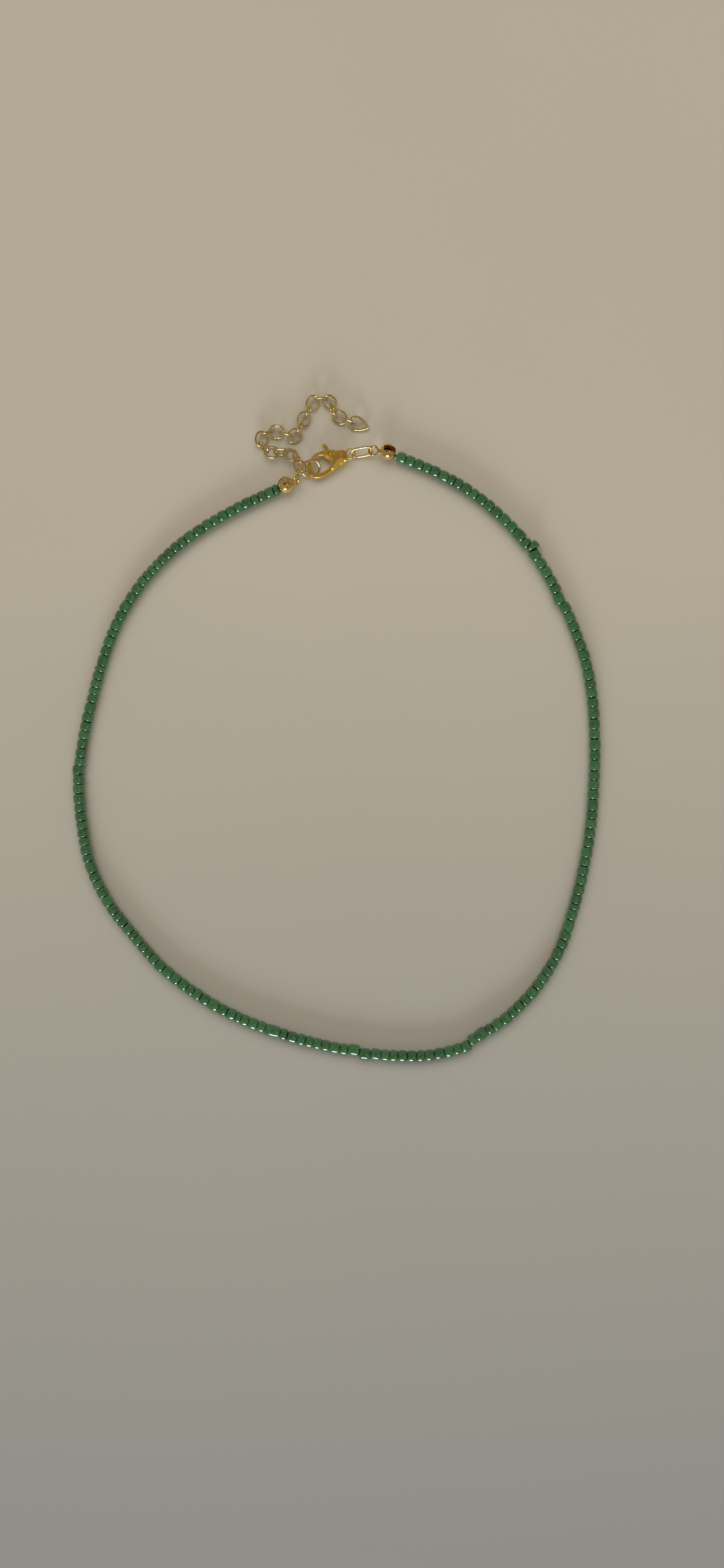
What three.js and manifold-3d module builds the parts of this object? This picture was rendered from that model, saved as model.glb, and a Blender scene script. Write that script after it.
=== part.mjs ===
// A choker of seed beads that lies closed on a table, with a lobster clasp and an extender chain.
// Millimetres, +Z up. Seen from above, the strand runs clockwise from the right bead tip to the left one.
import * as THREE from 'three';
import { mergeVertices } from 'three/addons/utils/BufferGeometryUtils.js';
import Module from 'manifold-3d';

const wasm = await Module();
wasm.setup();

// Strand of beads
const BEAD_DIAMETER = 3.0;
const STRAND_SIDES = 8;
const STRAND_STEPS = 76;

// Clearance between pieces that are strung or riveted together
const PIECE_GAP = 0.4;
const PIVOT_GAP = 0.08;

// Bead tips: a hollow clamshell of two cups, with a loop
const TIP_DIAMETER = 3.9;
const TIP_WALL = 0.32;
const TIP_SEAM_LENGTH = 3.1;
const TIP_SEAM_SHIFT = 0.6;
const TIP_THREAD_HOLE = 1.2;
const TIP_NECK_WIDTH = 0.9;
const TIP_NECK_THICKNESS = 0.45;
const TIP_LOOP_DIAMETER = 2.6;
const TIP_LOOP_WIRE = 0.5;
const RIGHT_LOOP_REACH = 3.4;
const LEFT_LOOP_REACH = 3.1;
const RIGHT_TIP_HEADING = 174;
const RIGHT_LOOP_TURN = 0;
const RIGHT_SEAM = 1.3;
const RIGHT_SEAM_TURN = 112;
const LEFT_TIP_HEADING = 34;
const LEFT_LOOP_TURN = 90;
const LEFT_SEAM = 0.36;
const LEFT_SEAM_TURN = 40;
const LEFT_TIP_DIP = 10;

// Jump rings
const RING_WIRE = 0.5;
const LEFT_RING_DIAMETER = 4.1;
const LEFT_RING_LEAN = 80;
const CLASP_RING_DIAMETER = 4.8;
const CLASP_RING_LEAN = 38;
const CLASP_RING_SIDE = 0.5;
const RIGHT_RING_WIDTH = 2.8;
const RIGHT_RING_LEAN = 48;
const RIGHT_RING_PLAY = 0.25;

// Lobster clasp, in its own frame: the eye is the origin and the nose points along -X. It is placed by its
// nose, where the clasp ring hangs, so that a longer clasp reaches towards the right bead tip.
const NOSE_PLACE = [-5.68, 60.35];
const CLASP_HEADING = 24.3;
const CLASP_LENGTH = 10.8;
const CLASP_WIDTH = 5.8;
const CLASP_THICKNESS = 2.7;
const HOOK_THICKNESS = 1.25;
const EYE_DIAMETER = 2.6;
const EYE_WIRE = 0.45;
const BEVEL = 0.2;
const BEVEL_INSET = 0.12;
const LEVER_THICKNESS = 0.9;
const LEVER_SLOT_GAP = 0.12;
const PIVOT_DIAMETER = 0.7;
const PIVOT_KNUCKLE = 1.3;
const NUB_DIAMETER = 0.85;
const NUB_STEM_WIDTH = 0.55;
const NUB_STEM_THICKNESS = 0.72;

// Extender chain
const LINK_LENGTH = 3.85;
const LINK_WIDTH = 3.3;
const LINK_WIRE = 0.48;
const LINK_PLAY = 0.7;
const FLAT_ROLL = 20;
const STANDING_ROLL = -75;
const FLAT_LIFT = 0.3;

// Teardrop link at the chain's free end
const DROP_LENGTH = 5.1;
const DROP_WIDTH = 3.6;
const DROP_WIRE = 0.6;
const DROP_ROLL = 24;
// Largest value of sin(a) sin(a / 2), which draws its sides
const DROP_FULLNESS = 0.77;

// Facets
const WIRE_SIDES = 6;
const RING_SEGMENTS = 16;
const LINK_SEGMENTS = 14;
const BALL_SEGMENTS = 16;
const BALL_RINGS = 12;
const CURVE_POINTS = 2;
const WELD = 1e-4;

// Route of the strand's centre line, from the right bead tip clockwise to the left one, as x and y
const STRAND_ROUTE = [
  [14.2, 63.7], [23.1, 60.0], [31.5, 55.2], [39.0, 49.0], [45.5, 41.7],
  [50.6, 33.4], [54.8, 24.7], [58.0, 15.5], [59.6, 5.9], [60.0, -3.8],
  [59.7, -13.5], [58.9, -23.3], [57.2, -32.8], [54.8, -42.2], [51.5, -51.4],
  [46.4, -59.6], [39.6, -66.6], [31.9, -72.4], [22.7, -75.2], [13.0, -75.5],
  [3.4, -74.3], [-6.1, -72.3], [-15.4, -69.5], [-24.4, -65.8], [-32.8, -60.9],
  [-40.5, -54.9], [-46.9, -47.7], [-52.8, -40.0], [-57.0, -31.2], [-59.0, -21.7],
  [-59.7, -12.0], [-58.7, -2.4], [-56.6, 7.1], [-54.0, 16.5], [-50.5, 25.6],
  [-45.4, 33.8], [-38.8, 41.0], [-31.1, 46.9], [-22.7, 51.7], [-13.9, 55.9],
];

// Route of the extender chain from the left jump ring to its free end: x, y and the height above the
// one at which a link rests on the table
const CHAIN_ROUTE = [
  [-8.35, 60.0, 1.6], [-8.45, 61.3, 1.3], [-9.0, 62.8, 0.6], [-10.4, 64.1, 0.1],
  [-12.2, 64.7, 0], [-14.6, 64.7, 0], [-16.8, 65.7, 0], [-17.5, 67.4, 0],
  [-16.8, 69.0, 0], [-14.8, 69.7, 0], [-12.3, 69.2, 0], [-9.9, 68.6, 0],
  [-8.7, 70.4, 0], [-7.4, 72.8, 0], [-6.3, 74.9, 0], [-5.0, 76.8, 0],
  [-2.9, 77.3, 0], [-1.1, 76.0, 0], [-0.4, 74.0, 0], [1.3, 72.7, 0],
  [3.3, 72.0, 0], [5.2, 71.35, 0],
];

// Clasp outlines, as shares of its length from the eye to the nose and of its width
const BODY_OUTLINE = [
  [-0.08, -0.1], [-0.11, -0.18], [-0.22, -0.29], [-0.34, -0.29], [-0.5, -0.35],
  [-0.54, -0.2], [-0.49, -0.08], [-0.47, 0.06], [-0.53, 0.24], [-0.56, 0.4],
  [-0.48, 0.51], [-0.4, 0.49], [-0.27, 0.36], [-0.11, 0.2], [-0.08, 0.1],
];
const HOOK_OUTLINE = [
  [-0.44, -0.16], [-0.44, -0.33], [-0.62, -0.4], [-0.78, -0.42], [-0.91, -0.35],
  [-0.98, -0.19], [-1.0, 0.0], [-0.98, 0.18], [-0.93, 0.34], [-0.89, 0.39],
  [-0.86, 0.33], [-0.865, 0.18], [-0.885, 0.05], [-0.885, -0.09], [-0.83, -0.21],
  [-0.7, -0.24], [-0.56, -0.19],
];
const LEVER_OUTLINE = [
  [-0.36, 0.27], [-0.4, 0.19], [-0.46, 0.23], [-0.56, 0.37], [-0.67, 0.43],
  [-0.76, 0.38], [-0.82, 0.3], [-0.84, 0.36], [-0.82, 0.47], [-0.73, 0.56],
  [-0.62, 0.57], [-0.5, 0.53], [-0.4, 0.44],
];
const PIVOT_PLACE = [-0.4, 0.31];
const NUB_PLACE = [-0.445, 0.72];
const NOSE_BAR = -0.912;

const UP = new THREE.Vector3(0, 0, 1);

function radians(degrees) {
  return THREE.MathUtils.degToRad(degrees);
}

function heading(degrees) {
  return new THREE.Vector3(Math.cos(radians(degrees)), Math.sin(radians(degrees)), 0);
}

// Unit direction that leans up from the flat one by an angle
function leaned(flat, degrees) {
  return flat.clone().multiplyScalar(Math.cos(radians(degrees))).addScaledVector(UP, Math.sin(radians(degrees)));
}

// A frame at a centre whose X lies along one direction and whose Y is as near as can be to another
function frameAt(centre, along, across) {
  const x = along.clone().normalize();
  const z = new THREE.Vector3().crossVectors(x, across).normalize();
  const y = new THREE.Vector3().crossVectors(z, x);
  return new THREE.Matrix4().makeBasis(x, y, z).setPosition(centre);
}

// The same surface with its shared corners merged, before it is moved anywhere
function welded(geometry) {
  geometry.deleteAttribute('normal');
  geometry.deleteAttribute('uv');
  return mergeVertices(geometry, WELD);
}

// The solid inside a welded surface
function toManifold(geometry) {
  return new wasm.Manifold(new wasm.Mesh({
    numProp: 3,
    vertProperties: new Float32Array(geometry.attributes.position.array),
    triVerts: new Uint32Array(geometry.index.array),
  }));
}

function toGeometry(solid) {
  const mesh = solid.getMesh();
  const geometry = new THREE.BufferGeometry();
  geometry.setAttribute('position', new THREE.BufferAttribute(new Float32Array(mesh.vertProperties), 3));
  geometry.setIndex(new THREE.BufferAttribute(new Uint32Array(mesh.triVerts), 1));
  geometry.computeVertexNormals();
  return geometry;
}

// A closed loop of wire that follows a flat outline, counter-clockwise in XY
function wireLoop(outline, wire) {
  const positions = [];
  const faces = [];
  outline.forEach((point, i) => {
    const next = outline[(i + 1) % outline.length];
    const last = outline[(i + outline.length - 1) % outline.length];
    const outward = new THREE.Vector2(next.y - last.y, last.x - next.x).normalize();
    for (let k = 0; k < WIRE_SIDES; k += 1) {
      const turn = (2 * Math.PI * k) / WIRE_SIDES;
      const out = (Math.cos(turn) * wire) / 2;
      const up = (Math.sin(turn) * wire) / 2;
      positions.push(point.x + outward.x * out, point.y + outward.y * out, up);
      const a = i * WIRE_SIDES + k;
      const d = i * WIRE_SIDES + ((k + 1) % WIRE_SIDES);
      const b = (a + WIRE_SIDES) % (outline.length * WIRE_SIDES);
      const c = (d + WIRE_SIDES) % (outline.length * WIRE_SIDES);
      faces.push(a, b, c, a, c, d);
    }
  });
  const geometry = new THREE.BufferGeometry();
  geometry.setAttribute('position', new THREE.Float32BufferAttribute(positions, 3));
  geometry.setIndex(faces);
  geometry.computeVertexNormals();
  return geometry;
}

function loopPoints(count, pointAt) {
  return Array.from({ length: count }, (_, i) => pointAt((2 * Math.PI * (i + 0.5)) / count));
}

function ringGeometry(outerDiameter, wire) {
  const radius = (outerDiameter - wire) / 2;
  const outline = loopPoints(RING_SEGMENTS, (a) => new THREE.Vector2(radius * Math.cos(a), radius * Math.sin(a)));
  return wireLoop(outline, wire);
}

// An oval loop: two half rounds as wide as the loop, set apart along X
function ovalGeometry(length, width, wire) {
  const radius = (width - wire) / 2;
  const apart = (length - width) / 2;
  const outline = loopPoints(LINK_SEGMENTS, (a) => new THREE.Vector2(
    radius * Math.cos(a) + apart * Math.sign(Math.cos(a)),
    radius * Math.sin(a),
  ));
  return wireLoop(outline, wire);
}

// A teardrop with its round end at -X and its point at +X
function dropGeometry() {
  const length = DROP_LENGTH - DROP_WIRE;
  const width = DROP_WIDTH - DROP_WIRE;
  const outline = loopPoints(RING_SEGMENTS, (a) => new THREE.Vector2(
    (length / 2) * Math.cos(a),
    (width / 2 / DROP_FULLNESS) * Math.sin(a) * Math.sin(a / 2),
  ));
  return wireLoop(outline, DROP_WIRE);
}

function flatOutline(shares) {
  const points = shares.map(([x, y]) => new THREE.Vector2(x * CLASP_LENGTH, y * CLASP_WIDTH));
  const shape = new THREE.Shape();
  shape.moveTo(points[0].x, points[0].y);
  shape.splineThru(points.slice(1));
  shape.closePath();
  return shape;
}

// A plate with softened edges, centred on z = 0
function plate(shares, thickness) {
  const geometry = new THREE.ExtrudeGeometry(flatOutline(shares), {
    depth: thickness - 2 * BEVEL,
    steps: 1,
    curveSegments: CURVE_POINTS,
    bevelEnabled: true,
    bevelThickness: BEVEL,
    bevelSize: BEVEL_INSET,
    bevelOffset: -BEVEL_INSET,
    bevelSegments: 1,
  });
  return welded(geometry).translate(0, 0, BEVEL - thickness / 2);
}

function uprightRod(diameter, height) {
  const rod = new THREE.CylinderGeometry(diameter / 2, diameter / 2, height, BALL_SEGMENTS);
  return welded(rod).rotateX(Math.PI / 2);
}

function ball(diameter) {
  return welded(new THREE.SphereGeometry(diameter / 2, BALL_SEGMENTS, BALL_RINGS));
}

function box(length, width, height) {
  return welded(new THREE.BoxGeometry(length, width, height));
}

const strandCurve = new THREE.CatmullRomCurve3(
  STRAND_ROUTE.map(([x, y]) => new THREE.Vector3(x, y, BEAD_DIAMETER / 2)),
);

// An octagon with a flat side down, so that the strand rests on it
function strandGeometry() {
  const corner = BEAD_DIAMETER / 2 / Math.cos(Math.PI / STRAND_SIDES);
  const section = new THREE.Shape(Array.from({ length: STRAND_SIDES }, (_, i) => {
    const turn = (2 * Math.PI * (i + 0.5)) / STRAND_SIDES;
    return new THREE.Vector2(corner * Math.cos(turn), corner * Math.sin(turn));
  }));
  return new THREE.ExtrudeGeometry(section, { steps: STRAND_STEPS, extrudePath: strandCurve });
}

// Where a bead tip sits: beyond the strand's end, on the end's own line
function tipCentre(atStart) {
  const end = strandCurve.getPointAt(atStart ? 0 : 1);
  const outward = strandCurve.getTangentAt(atStart ? 0 : 1).multiplyScalar(atStart ? -1 : 1);
  const centre = end.addScaledVector(outward, TIP_DIAMETER / 2 + PIECE_GAP);
  centre.z = TIP_DIAMETER / 2;
  return centre;
}

// A clamshell in its own frame: the loop is along +X, and the beads are at -X
function tipGeometry(reach, loopTurn, seamWidth, seamTurn) {
  const radius = TIP_DIAMETER / 2;
  const inner = radius - TIP_WALL;
  const outerBall = toManifold(ball(TIP_DIAMETER));
  const innerBall = toManifold(ball(2 * inner));
  const threadHole = toManifold(
    uprightRod(TIP_THREAD_HOLE, TIP_DIAMETER).rotateY(Math.PI / 2).translate(-radius, 0, 0),
  );
  const seam = toManifold(
    box(TIP_SEAM_LENGTH, TIP_DIAMETER, seamWidth)
      .translate(-TIP_SEAM_SHIFT, radius, 0)
      .rotateX(radians(seamTurn)),
  );
  const loop = toManifold(
    ringGeometry(TIP_LOOP_DIAMETER, TIP_LOOP_WIRE).rotateX(radians(loopTurn)).translate(reach, 0, 0),
  );
  const neckEnd = reach - TIP_LOOP_DIAMETER / 2 + TIP_LOOP_WIRE / 2;
  const neck = toManifold(
    box(neckEnd - inner - TIP_WALL / 2, TIP_NECK_WIDTH, TIP_NECK_THICKNESS)
      .translate((neckEnd + inner + TIP_WALL / 2) / 2, 0, 0)
      .rotateX(radians(loopTurn)),
  );
  const shell = outerBall.subtract(innerBall).subtract(threadHole).subtract(seam);
  return toGeometry(shell.add(neck).add(loop));
}

const rightTipAxis = heading(RIGHT_TIP_HEADING);
const leftTipAxis = leaned(heading(LEFT_TIP_HEADING), -LEFT_TIP_DIP);
const rightTipPlace = tipCentre(true);
const leftTipPlace = tipCentre(false);
const rightLoopCentre = rightTipPlace.clone().addScaledVector(rightTipAxis, RIGHT_LOOP_REACH);
const leftLoopCentre = leftTipPlace.clone().addScaledVector(leftTipAxis, LEFT_LOOP_REACH);

const claspAlong = heading(CLASP_HEADING);
const claspAcross = heading(CLASP_HEADING + 90);
const eyeCentre = new THREE.Vector3(NOSE_PLACE[0], NOSE_PLACE[1], CLASP_THICKNESS / 2)
  .addScaledVector(claspAlong, -NOSE_BAR * CLASP_LENGTH);
const claspFrame = frameAt(eyeCentre, claspAlong, claspAcross);

function claspBodyGeometry() {
  const pivot = new THREE.Vector3(PIVOT_PLACE[0] * CLASP_LENGTH, PIVOT_PLACE[1] * CLASP_WIDTH, 0);
  const slotLength = 2 * PIVOT_KNUCKLE + PIVOT_GAP;
  const slotFloor = pivot.y - PIVOT_KNUCKLE / 2 - LEVER_SLOT_GAP;
  const slotEnd = pivot.x + PIVOT_KNUCKLE / 2 + LEVER_SLOT_GAP;
  const slot = toManifold(
    box(slotLength, CLASP_WIDTH, LEVER_THICKNESS + 2 * LEVER_SLOT_GAP)
      .translate(slotEnd - slotLength / 2, slotFloor + CLASP_WIDTH / 2, 0),
  );
  const pivotHole = toManifold(
    uprightRod(PIVOT_DIAMETER + 2 * PIVOT_GAP, 2 * CLASP_THICKNESS).translate(pivot.x, pivot.y, 0),
  );
  const eye = toManifold(ringGeometry(EYE_DIAMETER, EYE_WIRE));
  const body = toManifold(plate(BODY_OUTLINE, CLASP_THICKNESS)).subtract(slot).subtract(pivotHole);
  return toGeometry(body.add(toManifold(plate(HOOK_OUTLINE, HOOK_THICKNESS))).add(eye));
}

function leverGeometry() {
  const pivotX = PIVOT_PLACE[0] * CLASP_LENGTH;
  const pivotY = PIVOT_PLACE[1] * CLASP_WIDTH;
  const nubX = NUB_PLACE[0] * CLASP_LENGTH;
  const nubY = NUB_PLACE[1] * CLASP_WIDTH;
  const stemLength = nubY - pivotY;
  const arm = toManifold(plate(LEVER_OUTLINE, LEVER_THICKNESS));
  const knuckle = toManifold(uprightRod(PIVOT_KNUCKLE, LEVER_THICKNESS).translate(pivotX, pivotY, 0));
  const stem = toManifold(
    box(NUB_STEM_WIDTH, stemLength, NUB_STEM_THICKNESS)
      .rotateZ(Math.atan2(pivotX - nubX, stemLength))
      .translate((pivotX + nubX) / 2, (pivotY + nubY) / 2, 0),
  );
  const nub = toManifold(ball(NUB_DIAMETER).translate(nubX, nubY, 0));
  const bore = toManifold(
    uprightRod(PIVOT_DIAMETER + 2 * PIVOT_GAP, 2 * CLASP_THICKNESS).translate(pivotX, pivotY, 0),
  );
  return toGeometry(arm.add(knuckle).add(stem).add(nub).subtract(bore));
}

function pivotGeometry() {
  return uprightRod(PIVOT_DIAMETER, CLASP_THICKNESS)
    .translate(PIVOT_PLACE[0] * CLASP_LENGTH, PIVOT_PLACE[1] * CLASP_WIDTH, 0);
}

// The ring that stands in the left tip's loop, with its lowest wire inside the loop
function leftRing() {
  const radius = (LEFT_RING_DIAMETER - RING_WIRE) / 2;
  const up = leaned(new THREE.Vector3(1, 0, 0), LEFT_RING_LEAN);
  const lowWire = leftLoopCentre.clone();
  lowWire.z -= (TIP_LOOP_DIAMETER / 2 - TIP_LOOP_WIRE - RING_WIRE / 2) / 2;
  const centre = lowWire.addScaledVector(up, radius);
  return ringGeometry(LEFT_RING_DIAMETER, RING_WIRE)
    .applyMatrix4(frameAt(centre, up, new THREE.Vector3(0, 1, 0)));
}

// The ring that the hook is closed round, leaning over the nose
function claspRing() {
  const radius = (CLASP_RING_DIAMETER - RING_WIRE) / 2;
  const across = leaned(claspAcross, CLASP_RING_LEAN);
  const centre = new THREE.Vector3(NOSE_BAR * CLASP_LENGTH, CLASP_RING_SIDE, 0).applyMatrix4(claspFrame);
  centre.z = radius * across.z + RING_WIRE / 2;
  return ringGeometry(CLASP_RING_DIAMETER, RING_WIRE).applyMatrix4(frameAt(centre, claspAlong, across));
}

// The oval ring through the clasp's eye and the right tip's loop: it leans, so that at both ends one side
// passes over the wire and the other under it
function rightRing() {
  const between = rightLoopCentre.clone().sub(eyeCentre).normalize();
  const start = eyeCentre.clone().addScaledVector(between, RIGHT_RING_PLAY);
  const end = rightLoopCentre.clone().addScaledVector(between, -RIGHT_RING_PLAY);
  const across = leaned(new THREE.Vector3().crossVectors(UP, between).normalize(), RIGHT_RING_LEAN);
  const centre = start.clone().add(end).multiplyScalar(0.5);
  return ovalGeometry(start.distanceTo(end) + RING_WIRE, RIGHT_RING_WIDTH, RING_WIRE)
    .applyMatrix4(frameAt(centre, between, across));
}

// Height of a rolled link's centre when its lowest wire touches the table
function restHeight(width, wire, roll) {
  return ((width - wire) / 2) * Math.abs(Math.sin(radians(roll))) + wire / 2;
}

function rolledFrame(centre, along, roll) {
  const side = new THREE.Vector3().crossVectors(UP, along).normalize();
  return frameAt(centre, along, leaned(side, roll));
}

const chainCurve = new THREE.CatmullRomCurve3(CHAIN_ROUTE.map((point) => new THREE.Vector3(...point)));
const chainPitch = LINK_LENGTH - 2 * LINK_WIRE - LINK_PLAY;
const linkCount = Math.floor(chainCurve.getLength() / chainPitch);

function chainPoint(distance) {
  return chainCurve.getPointAt(THREE.MathUtils.clamp(distance / chainCurve.getLength(), 0, 1));
}

// Links follow the route at one pitch, lying and standing by turns
function chainLink(index) {
  const middle = (index + 0.5) * chainPitch;
  const along = chainPoint(middle + chainPitch / 2).sub(chainPoint(middle - chainPitch / 2));
  const lying = index % 2 === 0;
  const roll = lying ? FLAT_ROLL : STANDING_ROLL;
  const centre = chainPoint(middle);
  centre.z += restHeight(LINK_WIDTH, LINK_WIRE, roll) + (lying ? FLAT_LIFT : 0);
  return ovalGeometry(LINK_LENGTH, LINK_WIDTH, LINK_WIRE)
    .applyMatrix4(rolledFrame(centre, along.normalize(), roll));
}

function endDrop() {
  const chainEnd = linkCount * chainPitch;
  const last = chainPoint(chainEnd);
  const along = last.clone().sub(chainPoint(chainEnd - chainPitch));
  along.z = 0;
  along.normalize();
  const centre = last.addScaledVector(along, DROP_LENGTH / 2 - DROP_WIRE - LINK_PLAY / 2);
  centre.z = restHeight(DROP_WIDTH, DROP_WIRE, DROP_ROLL);
  return dropGeometry().applyMatrix4(rolledFrame(centre, along, DROP_ROLL));
}

const beadGlass = { color: 0x35593a, roughness: 0.22, metalness: 0.0 };
const satinGold = { color: 0xcf9a3a, roughness: 0.34, metalness: 1.0 };
const brightGold = { color: 0xd6b468, roughness: 0.22, metalness: 1.0 };

const necklace = new THREE.Group();

function addPiece(name, geometry, finish) {
  const mesh = new THREE.Mesh(geometry, new THREE.MeshStandardMaterial(finish));
  mesh.name = name;
  necklace.add(mesh);
}

addPiece('bead_strand', strandGeometry(), beadGlass);
addPiece('right_bead_tip', tipGeometry(RIGHT_LOOP_REACH, RIGHT_LOOP_TURN, RIGHT_SEAM, RIGHT_SEAM_TURN)
  .applyMatrix4(frameAt(rightTipPlace, rightTipAxis, UP.clone().cross(rightTipAxis))), brightGold);
addPiece('left_bead_tip', tipGeometry(LEFT_LOOP_REACH, LEFT_LOOP_TURN, LEFT_SEAM, LEFT_SEAM_TURN)
  .applyMatrix4(frameAt(leftTipPlace, leftTipAxis, UP.clone().cross(leftTipAxis))), brightGold);
addPiece('left_jump_ring', leftRing(), brightGold);
addPiece('clasp_jump_ring', claspRing(), brightGold);
addPiece('right_jump_ring', rightRing(), brightGold);
addPiece('clasp_body', claspBodyGeometry().applyMatrix4(claspFrame), satinGold);
addPiece('clasp_lever', leverGeometry().applyMatrix4(claspFrame), satinGold);
addPiece('clasp_pivot', pivotGeometry().applyMatrix4(claspFrame), satinGold);
for (let i = 0; i < linkCount; i += 1) {
  addPiece(`chain_link_${String(i + 1).padStart(2, '0')}`, chainLink(i), brightGold);
}
addPiece('end_drop', endDrop(), brightGold);

// The origin is under the middle of the whole necklace, on the table
const extent = new THREE.Box3().setFromObject(necklace);
const middle = extent.getCenter(new THREE.Vector3());
necklace.position.set(-middle.x, -middle.y, -extent.min.z);

export default necklace;
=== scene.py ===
"""A choker of green seed beads with a lobster clasp and an extender chain, lying closed on a table.

Metres, +Z up. The CAD parts come from the frame; the route and the charts are in millimetres.
"""

import bisect
import math
import random
from functools import partial
from itertools import accumulate

import bpy
import numpy as np
from mathutils import Matrix, Vector
from mathutils.kdtree import KDTree


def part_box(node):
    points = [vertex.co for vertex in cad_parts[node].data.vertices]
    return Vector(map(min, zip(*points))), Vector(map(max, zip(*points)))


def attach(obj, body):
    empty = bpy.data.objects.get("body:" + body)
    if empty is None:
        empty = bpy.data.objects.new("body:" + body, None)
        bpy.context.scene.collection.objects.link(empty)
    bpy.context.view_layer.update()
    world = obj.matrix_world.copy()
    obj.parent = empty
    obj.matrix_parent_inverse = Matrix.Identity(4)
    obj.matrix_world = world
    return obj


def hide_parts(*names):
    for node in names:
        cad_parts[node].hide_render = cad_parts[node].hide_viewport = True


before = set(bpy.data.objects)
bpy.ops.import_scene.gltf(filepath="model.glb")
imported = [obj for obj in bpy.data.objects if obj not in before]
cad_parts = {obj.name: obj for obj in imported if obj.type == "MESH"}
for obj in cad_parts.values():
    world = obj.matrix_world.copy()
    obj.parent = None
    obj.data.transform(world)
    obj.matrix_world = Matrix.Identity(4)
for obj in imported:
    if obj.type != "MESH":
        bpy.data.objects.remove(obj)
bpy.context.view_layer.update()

MM = 0.001
UP = Vector((0, 0, 1))
random.seed(8)

# The strand's centre line in the CAD source, from the right bead tip clockwise to the left one
STRAND_ROUTE = [
    (14.2, 63.7), (23.1, 60.0), (31.5, 55.2), (39.0, 49.0), (45.5, 41.7),
    (50.6, 33.4), (54.8, 24.7), (58.0, 15.5), (59.6, 5.9), (60.0, -3.8),
    (59.7, -13.5), (58.9, -23.3), (57.2, -32.8), (54.8, -42.2), (51.5, -51.4),
    (46.4, -59.6), (39.6, -66.6), (31.9, -72.4), (22.7, -75.2), (13.0, -75.5),
    (3.4, -74.3), (-6.1, -72.3), (-15.4, -69.5), (-24.4, -65.8), (-32.8, -60.9),
    (-40.5, -54.9), (-46.9, -47.7), (-52.8, -40.0), (-57.0, -31.2), (-59.0, -21.7),
    (-59.7, -12.0), (-58.7, -2.4), (-56.6, 7.1), (-54.0, 16.5), (-50.5, 25.6),
    (-45.4, 33.8), (-38.8, 41.0), (-31.1, 46.9), (-22.7, 51.7), (-13.9, 55.9),
]
# Points of the line between two of these
ROUTE_STEPS = 16

# Chart of the beads in order along the strand. A letter is a bead's length, and each row's beads
# together reach the distance from the strand's start that stands beside it.
BEAD_LENGTHS = {"a": 1.4, "b": 1.7, "c": 1.95, "d": 2.2, "e": 2.45, "f": 2.7, "g": 3.0, "t": 3.75}
BEAD_ROWS = [
    ("dddcdebcecedefdgca", 39.0),
    ("ededcfeeddeedecdd", 78.5),
    ("fedfdedddfcdddecd", 117.7),
    ("dedaefdcgdcccedcce", 157.2),
    ("ebgcdcdedcddcceff", 195.0),
    ("ceccccebtcdcaddfdcc", 235.3),
    ("ddedcbccadbbdedccfb", 274.4),
    ("dcccdcedddcddcddec", 312.0),
    ("bccafdebfdfeecbbbcd", 351.0),
    ("ccefdcddcebcca", 379.6),
]
# Beads that sit out of line, by their number: millimetres outward, degrees turned, how much longer
# the outer side is than the middle, and how much wider the bead is than the others
ODD_BEADS = {
    16: (-0.05, 5, -0.25, 0.0),
    17: (0.5, 6, 0.8, 0.25),
    18: (-0.05, 3, -0.05, 0.0),
    23: (-0.35, -6, 0.0, 0.0),
    70: (-0.3, 2, 0.0, 0.0),
    71: (-0.55, 4, 0.0, 0.0),
    72: (-0.85, 6, 0.0, 0.05),
    73: (-0.75, 2, 0.1, 0.0),
    74: (0.05, 4, 0.1, 0.0),
    85: (0.25, 4, 0.0, 0.0),
    86: (-0.3, 0, 0.0, 0.0),
    134: (0.25, 5, 0.2, 0.0),
}
# The most that the first three of these are on the other beads
USUAL_OUTWARD = 0.03
USUAL_TURN = 4
USUAL_TAPER = 0.06

BEAD_RADIUS = 1.45 * MM
# The most that a bead's radius falls short of that
BEAD_SMALLER = 0.07 * MM
BEAD_HOLE = 0.42 * MM
BEAD_SPACING = 0.04 * MM
# A bead's wall is a rounded box in section: 2 would be an ellipse, and more is squarer
BEAD_SQUARENESS = 2.7
BEAD_PROFILE = 16
BEAD_SIDES = 24
# The most that a bead tips on the thread, in degrees, and turns round it, in radians
BEAD_NOD = 4
BEAD_ROLL = 0.3

THREAD_RADIUS = 0.26 * MM
THREAD_SIDES = 8
# How far the thread goes on past the strand, inside a bead tip
THREAD_END = 2.2 * MM
KNOT_RADIUS = 0.62 * MM
KNOT_ROWS = 8


# The strand's route

def hermite(before, start, end, after, u):
    """A point on the centripetal Catmull-Rom curve between start and end."""
    first, middle, last = (
        (b - a).length ** 0.5 for a, b in ((before, start), (start, end), (end, after))
    )
    leave = middle * (
        (start - before) / first - (end - before) / (first + middle) + (end - start) / middle
    )
    arrive = middle * (
        (end - start) / middle - (after - start) / (middle + last) + (after - end) / last
    )
    return (
        (2 * u**3 - 3 * u**2 + 1) * start
        + (u**3 - 2 * u**2 + u) * leave
        + (3 * u**2 - 2 * u**3) * end
        + (u**3 - u**2) * arrive
    )


def strand_line():
    """Close points along the strand's centre line, at z = 0, moved to where the CAD strand lies."""
    knots = [Vector((x, y, 0)) * MM for x, y in STRAND_ROUTE]
    knots = [2 * knots[0] - knots[1], *knots, 2 * knots[-1] - knots[-2]]
    points = [
        hermite(*four, step / ROUTE_STEPS)
        for four in zip(knots, knots[1:], knots[2:], knots[3:])
        for step in range(ROUTE_STEPS)
    ]
    points.append(knots[-2])
    low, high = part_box("bead_strand")
    radius = (high.z - low.z) / 2
    shift = Vector((
        low.x + radius - min(p.x for p in points),
        low.y + radius - min(p.y for p in points),
        0,
    ))
    return [p + shift for p in points]


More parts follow.
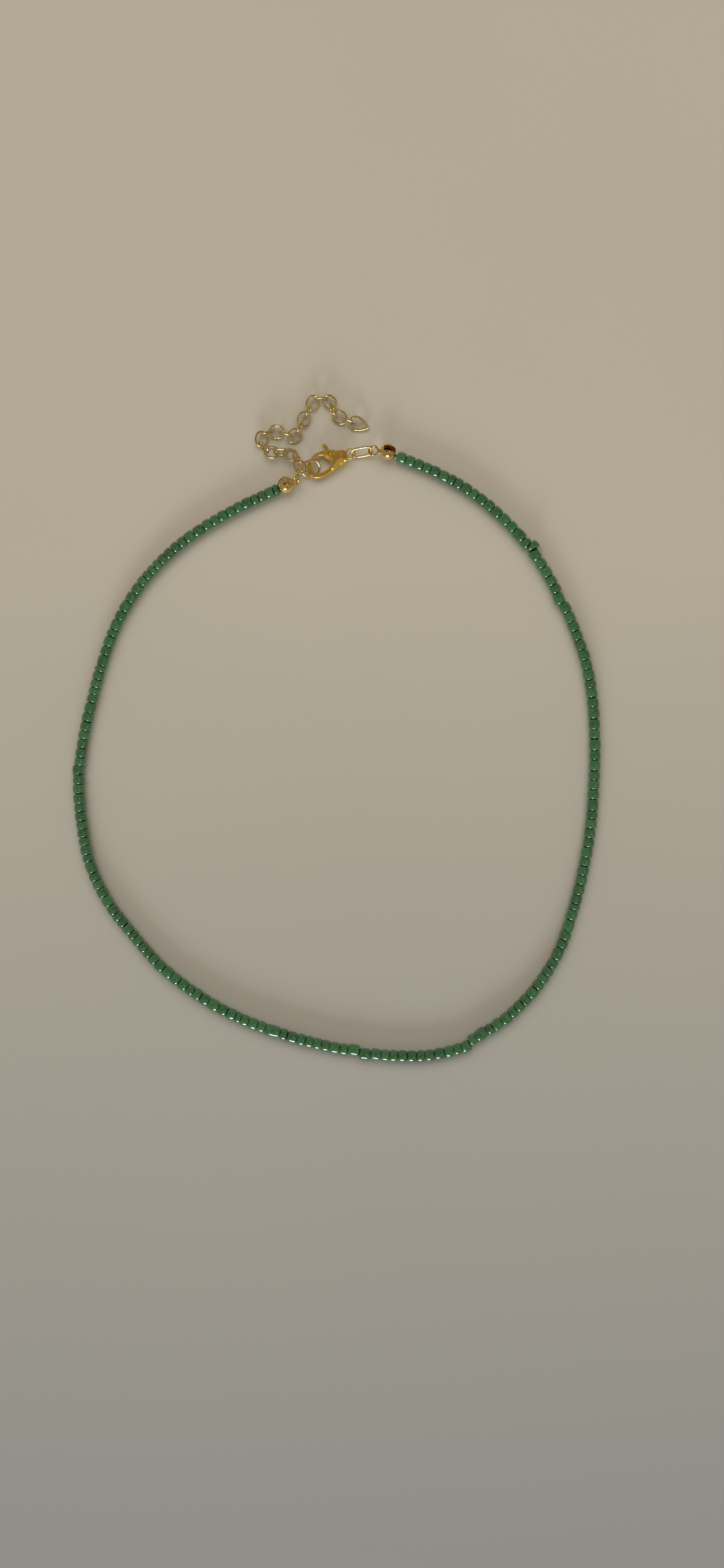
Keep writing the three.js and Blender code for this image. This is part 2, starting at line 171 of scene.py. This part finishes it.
LINE = strand_line()
LINE_LENGTHS = list(accumulate(((b - a).length for a, b in zip(LINE, LINE[1:])), initial=0.0))


def along_strand(distance):
    """The point and unit direction at a distance along the strand."""
    i = min(max(bisect.bisect_right(LINE_LENGTHS, distance) - 1, 0), len(LINE) - 2)
    step = LINE[i + 1] - LINE[i]
    share = (distance - LINE_LENGTHS[i]) / step.length
    return LINE[i] + step * share, step.normalized()


def strand_ends():
    """The strand's first and last point, each with the direction away from the beads."""
    start, first_way = along_strand(0)
    end, last_way = along_strand(LINE_LENGTHS[-1])
    return (start, -first_way), (end, last_way)


# Materials

def new_material(name, **values):
    """A Principled material with these constants, and its nodes, links and shader."""
    material = bpy.data.materials.new(name)
    material.use_nodes = True
    nodes, links = material.node_tree.nodes, material.node_tree.links
    shader = nodes["Principled BSDF"]
    for socket, value in values.items():
        shader.inputs[socket.replace("_", " ")].default_value = value
    return material, nodes, links, shader


def noise(nodes, links, scale, detail=3.0, space="Object"):
    """A noise value that stays fixed on the object, or in the room."""
    place = nodes.new("ShaderNodeTexCoord")
    texture = nodes.new("ShaderNodeTexNoise")
    texture.inputs["Scale"].default_value = scale
    texture.inputs["Detail"].default_value = detail
    links.new(place.outputs[space], texture.inputs["Vector"])
    return texture.outputs["Fac"]


def spread(nodes, links, value, low, high, start=0.35, end=0.65):
    """A value brought from the range between start and end to the one between low and high."""
    node = nodes.new("ShaderNodeMapRange")
    node.inputs["From Min"].default_value = start
    node.inputs["From Max"].default_value = end
    node.inputs["To Min"].default_value = low
    node.inputs["To Max"].default_value = high
    links.new(value, node.inputs["Value"])
    return node.outputs["Result"]


def mixed(nodes, links, factor, first, second):
    """A colour between two, by a factor."""
    node = nodes.new("ShaderNodeMix")
    node.data_type = "RGBA"
    for socket, colour in zip((node.inputs[6], node.inputs[7]), (first, second)):
        if isinstance(colour, bpy.types.NodeSocket):
            links.new(colour, socket)
        else:
            socket.default_value = (*colour, 1)
    links.new(factor, node.inputs[0])
    return node.outputs[2]


def separated(nodes, links, space):
    """X, Y and Z of the place on the object, or of the direction in the room."""
    place = nodes.new("ShaderNodeTexCoord")
    split = nodes.new("ShaderNodeSeparateXYZ")
    links.new(place.outputs[space], split.inputs["Vector"])
    return split.outputs


def bumped(nodes, links, shader, height, distance):
    """A relief of this height value on a shader's surface, this many metres deep."""
    node = nodes.new("ShaderNodeBump")
    node.inputs["Distance"].default_value = distance
    links.new(height, node.inputs["Height"])
    links.new(node.outputs["Normal"], shader.inputs["Normal"])


BEAD_DARK = (0.008, 0.078, 0.018)
BEAD_LIGHT = (0.022, 0.14, 0.042)
BEAD_BLOOM = (0.05, 0.19, 0.09)
THREAD_DARK = (0.03, 0.07, 0.045)
THREAD_LIGHT = (0.09, 0.14, 0.1)
# Each gold's light and dark tone, roughness, depth of relief in metres and scale of relief
GOLDS = {
    "tip_gold": ((0.94, 0.72, 0.32), (0.8, 0.56, 0.2), 0.1, 0.00003, 900.0),
    "ring_gold": ((0.9, 0.7, 0.32), (0.74, 0.54, 0.2), 0.14, 0.00002, 1500.0),
    "clasp_gold": ((0.99, 0.7, 0.19), (0.93, 0.6, 0.13), 0.34, 0.000012, 1100.0),
    "chain_gold": ((0.9, 0.74, 0.38), (0.72, 0.56, 0.24), 0.15, 0.00002, 1500.0),
}


def bead_glass():
    """Opaque green glass with a lustre coat; each bead has its own depth of colour."""
    material, nodes, links, shader = new_material(
        "bead_glass",
        IOR=1.52,
        Coat_Weight=1.0,
        Coat_Roughness=0.06,
        Coat_IOR=1.75,
        Subsurface_Weight=0.25,
        Subsurface_Radius=(0.3, 1.0, 0.5),
        Subsurface_Scale=0.0006,
    )
    tone = nodes.new("ShaderNodeAttribute")
    tone.attribute_name = "tone"
    colour = mixed(nodes, links, tone.outputs["Fac"], BEAD_DARK, BEAD_LIGHT)
    bloom = spread(nodes, links, noise(nodes, links, scale=700.0), low=0.0, high=0.35)
    links.new(mixed(nodes, links, bloom, colour, BEAD_BLOOM), shader.inputs["Base Color"])
    grain = noise(nodes, links, scale=2500.0)
    links.new(spread(nodes, links, grain, low=0.12, high=0.26), shader.inputs["Roughness"])
    relief = noise(nodes, links, scale=900.0, detail=1.0)
    bumped(nodes, links, shader, relief, distance=0.00006)
    return material


def gold(name, light, dark, roughness, relief, relief_scale):
    """Plated gold: tone, polish and a fine cast or drawn relief vary over it."""
    material, nodes, links, shader = new_material(name, Metallic=1.0)
    tone = spread(nodes, links, noise(nodes, links, scale=450.0), low=0.0, high=1.0)
    links.new(mixed(nodes, links, tone, light, dark), shader.inputs["Base Color"])
    wear = noise(nodes, links, scale=1800.0)
    polish = spread(nodes, links, wear, low=roughness * 0.75, high=roughness * 1.3)
    links.new(polish, shader.inputs["Roughness"])
    surface = noise(nodes, links, relief_scale, detail=2.0)
    bumped(nodes, links, shader, surface, distance=relief)
    return material


def thread_fibre():
    """Fine twisted thread."""
    material, nodes, links, shader = new_material("thread_fibre", Roughness=0.85)
    fibre = noise(nodes, links, scale=6000.0)
    links.new(mixed(nodes, links, fibre, THREAD_DARK, THREAD_LIGHT), shader.inputs["Base Color"])
    bumped(nodes, links, shader, fibre, distance=0.00004)
    return material


SLOT_MATERIALS = {"bead_glass": bead_glass()}
for gold_slot, look in GOLDS.items():
    SLOT_MATERIALS[gold_slot] = gold(gold_slot, *look)
THREAD_FIBRE = thread_fibre()


# Meshes

def new_piece(name, verts, faces, material, body="necklace"):
    """A smooth mesh piece of the necklace, in the row frame, that moves with a body."""
    mesh = bpy.data.meshes.new(name)
    mesh.from_pydata([tuple(v) for v in verts], [], faces)
    mesh.materials.append(material)
    mesh.polygons.foreach_set("use_smooth", [True] * len(mesh.polygons))
    mesh.update()
    piece = bpy.data.objects.new(name, mesh)
    bpy.context.collection.objects.link(piece)
    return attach(piece, body)


def node_piece(name, node, slot, verts, faces, body="necklace"):
    """A piece in the place of a CAD node, with the material of its slot."""
    piece = new_piece(name, verts, faces, SLOT_MATERIALS[slot], body)
    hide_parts(node)
    return piece


def spokes(count):
    """Even turns round a circle, in radians."""
    return [2 * math.pi * k / count for k in range(count)]


def grid_faces(rows, columns, rows_closed=True, start=0, turned=False):
    """Quads of a grid whose columns close on themselves, and its rows too if asked. Turned quads
    face the other way."""
    faces = []
    for i in range(rows if rows_closed else rows - 1):
        for k in range(columns):
            a = start + i * columns + k
            b = start + i * columns + (k + 1) % columns
            c = start + ((i + 1) % rows) * columns + (k + 1) % columns
            d = start + ((i + 1) % rows) * columns + k
            faces.append((d, c, b, a) if turned else (a, b, c, d))
    return faces


def capped_faces(rows, columns, start=0):
    """Quads of a grid whose columns close on themselves, with a face over its first and last row."""
    first = range(start, start + columns)
    last = range(start + (rows - 1) * columns, start + rows * columns)
    quads = grid_faces(rows, columns, rows_closed=False, start=start)
    return [*quads, tuple(reversed(first)), tuple(last)]


def swept(points, radius, sides, closed):
    """Vertices and faces of a round wire along points that lie flat; an open one has capped ends."""
    first, last = (points[-1], points[0]) if closed else (points[0], points[-1])
    padded = [first, *points, last]
    verts = []
    for behind, point, ahead in zip(padded, points, padded[2:]):
        side = UP.cross(ahead - behind).normalized()
        for turn in spokes(sides):
            verts.append(point + (side * math.cos(turn) + UP * math.sin(turn)) * radius)
    faces = grid_faces(len(points), sides) if closed else capped_faces(len(points), sides)
    return verts, faces


def node_points(node):
    """The vertices of a CAD node."""
    return [v.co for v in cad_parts[node].data.vertices]


def centre_of(node):
    """The middle of a CAD node's box."""
    low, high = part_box(node)
    return (low + high) / 2


def within_box(points, node):
    """Points held inside a CAD node's box."""
    low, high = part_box(node)
    return np.clip(points, low, high)


# Strand

def signed_power(value, power):
    """A power of a value's size, with the value's sign."""
    return math.copysign(abs(value) ** power, value)


def bead_profile(length, radius):
    """Axial and radial places round a bead's wall: from one end over its waist to the other end,
    and back along its hole."""
    middle = (radius + BEAD_HOLE) / 2
    half_wall = (radius - BEAD_HOLE) / 2
    points = []
    for turn in spokes(BEAD_PROFILE):
        axial = signed_power(math.cos(turn), 2 / BEAD_SQUARENESS) * length / 2
        radial = middle + signed_power(math.sin(turn), 2 / BEAD_SQUARENESS) * half_wall
        points.append((axial, radial))
    return points


def bead_verts(length, radius, taper):
    """A bead along X in its own frame, whose +Y side is longer than its middle by the taper."""
    verts = []
    for axial, radial in bead_profile(length, radius):
        for turn in spokes(BEAD_SIDES):
            side = radial * math.cos(turn)
            verts.append(Vector((axial * (1 + taper * side / radius), side, radial * math.sin(turn))))
    return verts


def bead_lengths():
    """Length of each bead in metres; the rows are fitted to their charted ends."""
    lengths = []
    reached = 0.0
    for letters, row_end in BEAD_ROWS:
        charted = [BEAD_LENGTHS[letter] for letter in letters]
        fit = (row_end - reached) / sum(charted)
        lengths += [length * fit * MM for length in charted]
        reached = row_end
    return lengths


def even(most):
    """A random value between minus and plus the most."""
    return random.uniform(-most, most)


def bead_frame(place, direction, outward, radius, turned):
    """The bead's own frame on the table, a little out of line."""
    side = UP.cross(direction)
    rotation = (
        Matrix.Rotation(math.radians(turned), 3, "Z")
        @ Matrix((direction, side, UP)).transposed()
        @ Matrix.Rotation(math.radians(even(BEAD_NOD)), 3, "Y")
        @ Matrix.Rotation(random.uniform(0, BEAD_ROLL), 3, "X")
    )
    centre = place + side * outward
    centre.z = radius
    return Matrix.Translation(centre) @ rotation.to_4x4()


def string_beads():
    """All the beads as one mesh, in the place of the CAD strand. Returns the beads' centres."""
    verts, faces, tones, centres = [], [], [], []
    distance = 0.0
    for number, length in enumerate(bead_lengths()):
        place, direction = along_strand(distance + length / 2)
        distance += length
        usual = (even(USUAL_OUTWARD), even(USUAL_TURN), even(USUAL_TAPER), 0.0)
        outward, turned, taper, wider = ODD_BEADS.get(number, usual)
        radius = (BEAD_RADIUS + random.uniform(-BEAD_SMALLER, 0.0)) * (1 + wider)
        at = bead_frame(place, direction, outward * MM, radius, turned)
        bead = [at @ v for v in bead_verts(length - BEAD_SPACING, radius, taper)]
        centres.append(Vector((at.translation.x, at.translation.y, BEAD_RADIUS)))
        rise = UP * min(v.z for v in bead)
        faces += grid_faces(BEAD_PROFILE, BEAD_SIDES, start=len(verts), turned=True)
        verts += [v - rise for v in bead]
        tones += [random.random()] * len(bead)
    piece = node_piece("seed_beads", "bead_strand", "bead_glass", verts, faces)
    piece.data.attributes.new("tone", "FLOAT", "FACE").data.foreach_set("value", tones)
    return centres


def ball_points(radius, rows):
    """Rings of points over a ball, from just above its bottom to just below its top."""
    points = []
    for i in range(rows):
        lift = math.pi * ((i + 0.5) / rows - 0.5)
        across = radius * math.cos(lift)
        height = radius * math.sin(lift)
        for turn in spokes(BEAD_SIDES):
            points.append(Vector((across * math.cos(turn), across * math.sin(turn), height)))
    return points


def string_thread(bead_centres):
    """The thread through the beads, with a knot at each end inside the bead tips."""
    first, last = (place + way * THREAD_END + UP * BEAD_RADIUS for place, way in strand_ends())
    verts, faces = swept([first, *bead_centres, last], THREAD_RADIUS, THREAD_SIDES, closed=False)
    for knot in (first, last):
        faces += capped_faces(KNOT_ROWS, BEAD_SIDES, start=len(verts))
        verts += [knot + p for p in ball_points(KNOT_RADIUS, KNOT_ROWS)]
    new_piece("bead_thread", verts, faces, THREAD_FIBRE)


# Rings and links

RING_WIRE = 0.5 * MM
RING_CUT = 0.09 * MM
RIGHT_RING_WIDTH = 2.8 * MM
LINK_WIRE = 0.48 * MM
LINK_LENGTH = 3.85 * MM
LINK_WIDTH = 3.3 * MM
DROP_WIRE = 0.6 * MM
DROP_LENGTH = 5.1 * MM
DROP_WIDTH = 3.6 * MM
# Where each jump ring is cut, in radians from its long axis
RING_CUTS = {"left": 2.0, "clasp": -1.2, "right": 1.2}
WIRE_SIDES = 12
RING_STEPS = 56
# How quickly a loop's straight sides pass into its round ends
OVAL_EASE = 6
# The teardrop's greatest width before it is brought to size
TEARDROP_FULLEST = 0.77
# Points of a CAD node count as one when they agree to this many decimals of a metre
SAME_DECIMALS = 7


def wire_frame(node):
    """Centre of a CAD wire loop and its long, short and normal axes; the long one is towards its
    narrower end."""
    points = np.unique(np.array(node_points(node)).round(SAME_DECIMALS), axis=0)
    centre = points.mean(axis=0)
    away = points - centre
    _, axes = np.linalg.eigh(np.cov(away.T))
    normal, short, long = axes.T
    if normal[2] < 0:
        normal = -normal
    fuller_end = ((away @ long) * (away @ short) ** 2).sum()
    if fuller_end > 0:
        long = -long
    long, normal = Vector(long), Vector(normal)
    return Vector(centre), long, normal.cross(long), normal


def loop_length(node):
    """Outer length of a CAD wire loop."""
    centre, long, _, _ = wire_frame(node)
    reaches = [(point - centre).dot(long) for point in node_points(node)]
    return max(reaches) - min(reaches)


def oval(length, width, wire, cut=0.0, cut_at=0.0):
    """A loop of round ends and straight sides, measured outside, open by a cut at an angle."""
    radius = (width - wire) / 2
    apart = (length - width) / 2
    gap = cut / radius / 2
    steps = RING_STEPS - 1 if cut else RING_STEPS
    points = []
    for i in range(RING_STEPS):
        turn = cut_at + gap + (2 * math.pi - 2 * gap) * i / steps
        ease = math.tanh(OVAL_EASE * math.cos(turn))
        points.append(Vector((radius * math.cos(turn) + apart * ease, radius * math.sin(turn), 0)))
    return points


def teardrop(length, width, wire):
    """A loop with its round end at -X and its point at +X."""
    points = []
    for i in range(RING_STEPS):
        turn = 2 * math.pi * (i + 0.5) / RING_STEPS
        across = math.sin(turn) * math.sin(turn / 2) / TEARDROP_FULLEST
        points.append(Vector(((length - wire) / 2 * math.cos(turn), (width - wire) / 2 * across, 0)))
    return points


def loop_piece(name, node, slot, outline, wire, closed=True):
    """A smooth wire loop in the place of a CAD one."""
    centre, long, short, normal = wire_frame(node)
    at = Matrix.Translation(centre) @ Matrix((long, short, normal)).transposed().to_4x4()
    verts, faces = swept(outline, wire / 2, WIRE_SIDES, closed)
    node_piece(name, node, slot, within_box([at @ v for v in verts], node), faces)


def make_rings():
    """The three jump rings; the left and the clasp's are round, and the right one is long."""
    for side, cut_at in RING_CUTS.items():
        node = f"{side}_jump_ring"
        length = loop_length(node)
        width = RIGHT_RING_WIDTH if side == "right" else length
        outline = oval(length, width, RING_WIRE, RING_CUT, cut_at)
        loop_piece(f"{side}_ring", node, "ring_gold", outline, RING_WIRE, closed=False)


def make_chain():
    """The links of the extender chain and the drop at its end."""
    outline = oval(LINK_LENGTH, LINK_WIDTH, LINK_WIRE)
    for node in sorted(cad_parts):
        if node.startswith("chain_link_"):
            loop_piece(node.replace("chain_", ""), node, "chain_gold", outline, LINK_WIRE)
    outline = teardrop(DROP_LENGTH, DROP_WIDTH, DROP_WIRE)
    loop_piece("end_teardrop", "end_drop", "chain_gold", outline, DROP_WIRE)


# Cast and pressed pieces

CLASP_HEADING = math.radians(24.3)
CLASP_ALONG = Vector((math.cos(CLASP_HEADING), math.sin(CLASP_HEADING), 0))
CLASP_ACROSS = UP.cross(CLASP_ALONG)
# The clasp's eye and body begin this far along it from the rivet, and the hook comes before them
EYE_FROM = 2.6 * MM
BODY_FROM = -1.2 * MM
# The faces are domed above this height, as a share of half the clasp's thickness
CROWN_FOOT = 0.46
# Heights, as such shares, between which the clasp's outline is read from its walls
CROWN_WALL = (0.5, 0.8)
# Walls this near the rivet's middle belong to its hole, and not to the outline
RIVET_CLEAR = 0.7 * MM
# How far in from the outline the dome rises, its least rise, and where it ends along the clasp
CROWN_REACH = 1.7 * MM
LEAST_RISE = 0.1
CROWN_UNTIL = 2.4 * MM
# How far across the clasp the lever's nub begins, and from where it's widened by this factor
NUB_FROM = 0.6 * MM
NUB_FOOT = 1.3 * MM
NUB_GROWTH = 1.45
# The widening comes in over this length across, and nothing this far towards the hook is widened
NUB_BLEND = 0.4 * MM
NUB_REACH = 1.4 * MM
# How far a bead tip's middle and the end of its shell lie from the strand's end
TIP_REACH = 2.35 * MM
TIP_SHELL = 3.9 * MM
TIP_RADIUS = 1.95 * MM
# The shell's facets lie at most this far inside and outside that radius
TIP_SAG = 0.1 * MM
TIP_SLACK = 0.01 * MM
# How far each round of softening draws a point towards its neighbours
SOFT_EYE = 0.03
SOFT_BODY = 0.5
SOFT_HOOK = 0.14
SOFT_NUB = 0.08
SOFT_ARM = 0.3
SOFT_LOOP = 0.05
SOFT_SHELL = 0.3
# Heights up the rivet and its widths there, as shares of the whole
RIVET_PROFILE = [(0.0, 0.6), (0.02, 0.9), (0.07, 1.0), (0.93, 1.0), (0.98, 0.9), (1.0, 0.6)]


def past(points, place, way):
    """How far each point lies beyond a place, along a way."""
    return (points - np.array(place)) @ np.array(way)


def on_clasp(points):
    """How far each point lies along the clasp and across it, from its rivet."""
    rivet = centre_of("clasp_pivot")
    return past(points, rivet, CLASP_ALONG), past(points, rivet, CLASP_ACROSS)


def remeshed(node, voxel):
    """Points, faces and edges of a CAD node after an even voxel remesh."""
    copy = bpy.data.objects.new("remesh_source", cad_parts[node].data.copy())
    bpy.context.collection.objects.link(copy)
    grid = copy.modifiers.new("grid", "REMESH")
    grid.mode = "VOXEL"
    grid.voxel_size = voxel
    mesh = copy.evaluated_get(bpy.context.evaluated_depsgraph_get()).to_mesh()
    points = np.array([v.co for v in mesh.vertices])
    faces = [tuple(p.vertices) for p in mesh.polygons]
    edges = np.array([e.vertices for e in mesh.edges])
    copy.to_mesh_clear()
    bpy.data.objects.remove(copy)
    return points, faces, edges


def softened(points, edges, rounds, weight):
    """Points drawn towards their neighbours' average, each by its own weight."""
    counts = np.zeros(len(points))
    np.add.at(counts, edges.ravel(), 1)
    for _ in range(rounds):
        sums = np.zeros_like(points)
        np.add.at(sums, edges[:, 0], points[edges[:, 1]])
        np.add.at(sums, edges[:, 1], points[edges[:, 0]])
        points = points + weight[:, None] * (sums / counts[:, None] - points)
    return points


def cast_piece(name, node, slot, voxel, rounds, shaped, weights_of, body="necklace"):
    """A CAD node in a finer shape, with its edges softened more or less from place to place."""
    points, faces, edges = remeshed(node, voxel)
    points = shaped(points)
    points = softened(points, edges, rounds, weights_of(points))
    node_piece(name, node, slot, within_box(points, node), faces, body)


def crowned(points):
    """The clasp body's faces domed: they fall away towards its outline, and its slot and eye stay
    as they are."""
    low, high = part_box("clasp_body")
    middle, half = (low.z + high.z) / 2, (high.z - low.z) / 2
    height = np.abs(points[:, 2] - middle)
    along, across = on_clasp(points)
    wall_low, wall_high = (share * half for share in CROWN_WALL)
    wall = (height > wall_low) & (height < wall_high) & (np.hypot(along, across) > RIVET_CLEAR)
    outline = KDTree(int(wall.sum()))
    for i, (x, y, _) in enumerate(points[wall]):
        outline.insert((x, y, 0), i)
    outline.balance()
    domed = points.copy()
    for i in np.nonzero((height > CROWN_FOOT * half) & (along < CROWN_UNTIL))[0]:
        x, y, z = points[i]
        inward = outline.find((x, y, 0))[2]
        rise = math.sqrt(1 - (1 - min(inward / CROWN_REACH, 1)) ** 2)
        share = CROWN_FOOT + (height[i] / half - CROWN_FOOT) * max(rise, LEAST_RISE)
        domed[i, 2] = middle + math.copysign(share * half, z - middle)
    return domed


def clasp_weights(points):
    """Full softening on the thick body, little on the hook and almost none on the eye."""
    along, _ = on_clasp(points)
    return np.where(along > EYE_FROM, SOFT_EYE, np.where(along > BODY_FROM, SOFT_BODY, SOFT_HOOK))


def fuller_nub(points):
    """The thumb nub widened along the clasp, about the middle line of its stem."""
    along, across = on_clasp(points)
    nub = (across > NUB_FOOT) & (along > -NUB_REACH)
    middle = np.polyval(np.polyfit(across[nub], along[nub], 1), across)
    grown = np.where(nub, (NUB_GROWTH - 1) * np.minimum((across - NUB_FOOT) / NUB_BLEND, 1), 0.0)
    return points + ((along - middle) * grown)[:, None] * np.array(CLASP_ALONG)


def lever_weights(points):
    """The arm is softened and the thumb nub hardly."""
    _, across = on_clasp(points)
    return np.where(across > NUB_FROM, SOFT_NUB, SOFT_ARM)


def make_rivet():
    """The lever's pivot, with a slightly domed head at both ends."""
    low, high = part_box("clasp_pivot")
    centre = (low + high) / 2
    radius = (high.x - low.x) / 2
    verts = []
    for height, width in RIVET_PROFILE:
        for turn in spokes(BEAD_SIDES):
            verts.append((
                centre.x + radius * width * math.cos(turn),
                centre.y + radius * width * math.sin(turn),
                low.z + (high.z - low.z) * height,
            ))
    faces = capped_faces(len(RIVET_PROFILE), BEAD_SIDES)
    node_piece("clasp_rivet", "clasp_pivot", "clasp_gold", verts, faces)


def make_clasp():
    """The clasp's cast body, its lever and the rivet between them."""
    cast_piece(
        "clasp_cast",
        "clasp_body",
        "clasp_gold",
        voxel=0.1 * MM,
        rounds=24,
        shaped=crowned,
        weights_of=clasp_weights,
    )
    cast_piece(
        "lever_cast",
        "clasp_lever",
        "clasp_gold",
        voxel=0.08 * MM,
        rounds=3,
        shaped=fuller_nub,
        weights_of=lever_weights,
        body="trigger",
    )
    make_rivet()


def rounded_shell(centre, points):
    """The facets of a bead tip's shell brought out to a true ball."""
    away = points - np.array(centre)
    reach = np.linalg.norm(away, axis=1)
    facet = (reach > TIP_RADIUS - TIP_SAG) & (reach < TIP_RADIUS + TIP_SLACK)
    scale = np.where(facet, TIP_RADIUS / reach, 1.0)
    return np.array(centre) + away * scale[:, None]


def tip_weights(strand_end, way, points):
    """The shell is softened and the wire loop beyond it hardly."""
    return np.where(past(points, strand_end, way) > TIP_SHELL, SOFT_LOOP, SOFT_SHELL)


def make_tips():
    """The two bead tips, at the strand's first and last end."""
    for side, (strand_end, way) in zip(("right", "left"), strand_ends()):
        centre = strand_end + way * TIP_REACH + UP * TIP_RADIUS
        cast_piece(
            f"{side}_tip",
            f"{side}_bead_tip",
            "tip_gold",
            voxel=0.06 * MM,
            rounds=5,
            shaped=partial(rounded_shell, centre),
            weights_of=partial(tip_weights, strand_end, way),
        )


# Floor, light and camera

FLOOR_HALF = 3.0
# The floor's near and far colours are painted shade and painted light: darker and bluer near the
# window, lighter and warmer far from it
FLOOR_NEAR_PAINTED_SHADE = (0.312, 0.32, 0.335)
FLOOR_FAR_PAINTED_LIGHT = (0.54, 0.51, 0.453)
# Places along Y between which the floor's colour passes from its painted shade, darker and bluer near
# the window, to its painted light, lighter and warmer far from it
FLOOR_PAINTED_SHADE_FADE = (-0.19, 0.04)
ROOM_COLOUR = (0.62, 0.58, 0.5)
CEILING_SHADE = (0.1, 0.07, 0.04)
CEILING_LIGHT = (1.5, 1.28, 0.88)
ROOM_STRENGTH = 0.4
CAMERA_DISTANCE = 0.35
CAMERA_TARGET = Vector((5.85, -13.16, 0)) * MM
CAMERA_ELEVATION = 89.0
CAMERA_LENS = 34.5
CAMERA_SENSOR = 36


def make_floor():
    """A pale painted table top under the necklace, faintly mottled, with painted shade and light in
    its colour: darker and bluer near the window, lighter and warmer far from it.
    """
    mesh = bpy.data.meshes.new("floor")
    corners = [(x * FLOOR_HALF, y * FLOOR_HALF, 0) for x, y in ((-1, -1), (1, -1), (1, 1), (-1, 1))]
    mesh.from_pydata(corners, [], [(0, 1, 2, 3)])
    material, nodes, links, shader = new_material("floor_paint", Roughness=0.7)
    # Painted shade and light: the floor's colour darkens and turns bluer along Y towards the window
    place = separated(nodes, links, "Object")
    back = spread(nodes, links, place["Y"], 0.0, 1.0, *FLOOR_PAINTED_SHADE_FADE)
    mottle = spread(nodes, links, noise(nodes, links, scale=9.0), low=0.0, high=0.06)
    painted_shade_tint = mixed(nodes, links, back, FLOOR_NEAR_PAINTED_SHADE, FLOOR_FAR_PAINTED_LIGHT)
    links.new(mixed(nodes, links, mottle, painted_shade_tint, FLOOR_NEAR_PAINTED_SHADE), shader.inputs["Base Color"])
    mesh.materials.append(material)
    floor = bpy.data.objects.new("floor", mesh)
    bpy.context.collection.objects.link(floor)


def make_world():
    """A warm room with lit and shaded parts overhead, whose reflection gives the gold its browns."""
    world = bpy.data.worlds.new("studio")
    world.use_nodes = True
    nodes, links = world.node_tree.nodes, world.node_tree.links
    sky = nodes["Background"]
    way = separated(nodes, links, "Generated")
    height = spread(nodes, links, way["Z"], 0.0, 1.0, start=0.35, end=0.95)
    blotches = noise(nodes, links, scale=2.6, detail=1.0, space="Generated")
    patches = spread(nodes, links, blotches, 0.0, 1.0, start=0.42, end=0.58)
    ceiling = mixed(nodes, links, patches, CEILING_SHADE, CEILING_LIGHT)
    links.new(mixed(nodes, links, height, ROOM_COLOUR, ceiling), sky.inputs["Color"])
    sky.inputs["Strength"].default_value = ROOM_STRENGTH
    bpy.context.scene.world = world


def area_light(name, place, size, energy, colour):
    """A rectangular light that faces the middle of the table."""
    light = bpy.data.lights.new(name, "AREA")
    light.shape = "RECTANGLE"
    light.size, light.size_y = size
    light.energy = energy
    light.color = colour
    lamp = bpy.data.objects.new(name, light)
    bpy.context.collection.objects.link(lamp)
    lamp.location = place
    lamp.rotation_mode = "QUATERNION"
    lamp.rotation_quaternion = (-lamp.location).to_track_quat("-Z", "Y")
    return lamp


def make_lights():
    """A low cool window in front and a broad warm lamp above, which isn't seen in the gold."""
    area_light(
        "window", place=(-0.2, -1.9, 0.6), size=(1.0, 0.5), energy=22.0, colour=(0.93, 0.98, 1.0)
    )
    lamp = area_light(
        "lamp", place=(-0.3, 1.6, 2.6), size=(4.0, 2.4), energy=63.0, colour=(1.0, 0.94, 0.82)
    )
    lamp.visible_glossy = False


def make_camera():
    """The photo's view, from almost straight above."""
    data = bpy.data.cameras.new("camera")
    data.sensor_fit = "VERTICAL"
    data.sensor_height = CAMERA_SENSOR
    data.lens = CAMERA_LENS
    camera = bpy.data.objects.new("camera", data)
    bpy.context.collection.objects.link(camera)
    lift = math.radians(CAMERA_ELEVATION)
    camera.location = CAMERA_TARGET + Vector((0, -math.cos(lift), math.sin(lift))) * CAMERA_DISTANCE
    camera.rotation_euler = (math.radians(90 - CAMERA_ELEVATION), 0, 0)
    bpy.context.scene.camera = camera
    bpy.context.scene.view_settings.view_transform = "Standard"


make_camera()
string_thread(string_beads())
make_rings()
make_chain()
make_clasp()
make_tips()
make_floor()
make_world()
make_lights()
